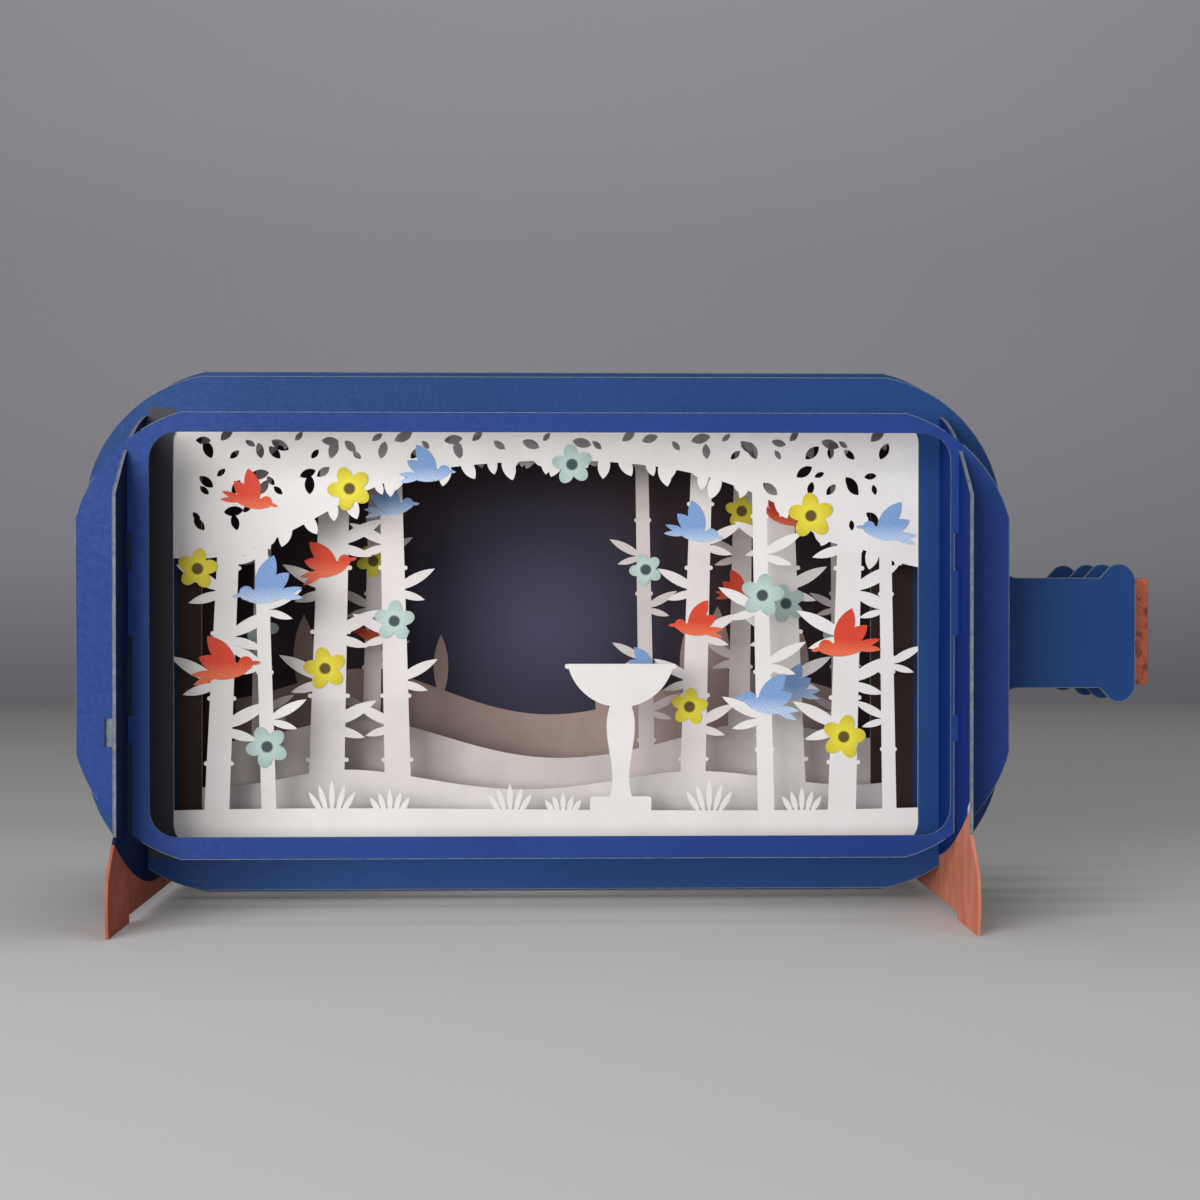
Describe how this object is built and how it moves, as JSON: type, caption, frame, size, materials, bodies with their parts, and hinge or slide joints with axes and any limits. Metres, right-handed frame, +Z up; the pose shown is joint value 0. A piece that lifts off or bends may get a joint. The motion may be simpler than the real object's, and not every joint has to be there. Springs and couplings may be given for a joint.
{
  "type": "greeting card",
  "caption": "Free-standing layered paper card shaped like a bottle on its side, with a cut paper scene in its window and copper feet.",
  "frame": {"origin": "on the floor under the middle of the whole card's length and depth", "axes": "+X along the bottle towards its neck and cork, +Y from front to back, +Z up"},
  "size_m": [0.2454, 0.1134, 0.1215],
  "materials": {
    "blue_board": "matt printed board",
    "rib_board": "matt printed board with a satin copper foot",
    "cork_board": "mottled satin copper print",
    "white_paper": "matt uncoated",
    "red_paper": "matt print",
    "sky_paper": "matt print",
    "yellow_paper": "matt print",
    "mint_paper": "matt print"
  },
  "bodies": {
    "root": {"front_frame": "blue_board", "bottle_frame_front": "blue_board", "bottle_frame_middle": "blue_board", "bottle_frame_rear": "blue_board", "back_panel": "blue_board", "left_rib": "rib_board", "right_rib": "rib_board", "cork_sheet": "cork_board", "scene_sheet_front": "white_paper", "scene_sheet_middle": "white_paper", "scene_sheet_rear": "white_paper", "scene_sheet_far": "white_paper", "birds_red": "red_paper", "birds_blue": "sky_paper", "blossoms_yellow": "yellow_paper", "blossoms_mint": "mint_paper"}
  },
  "joints": []
}
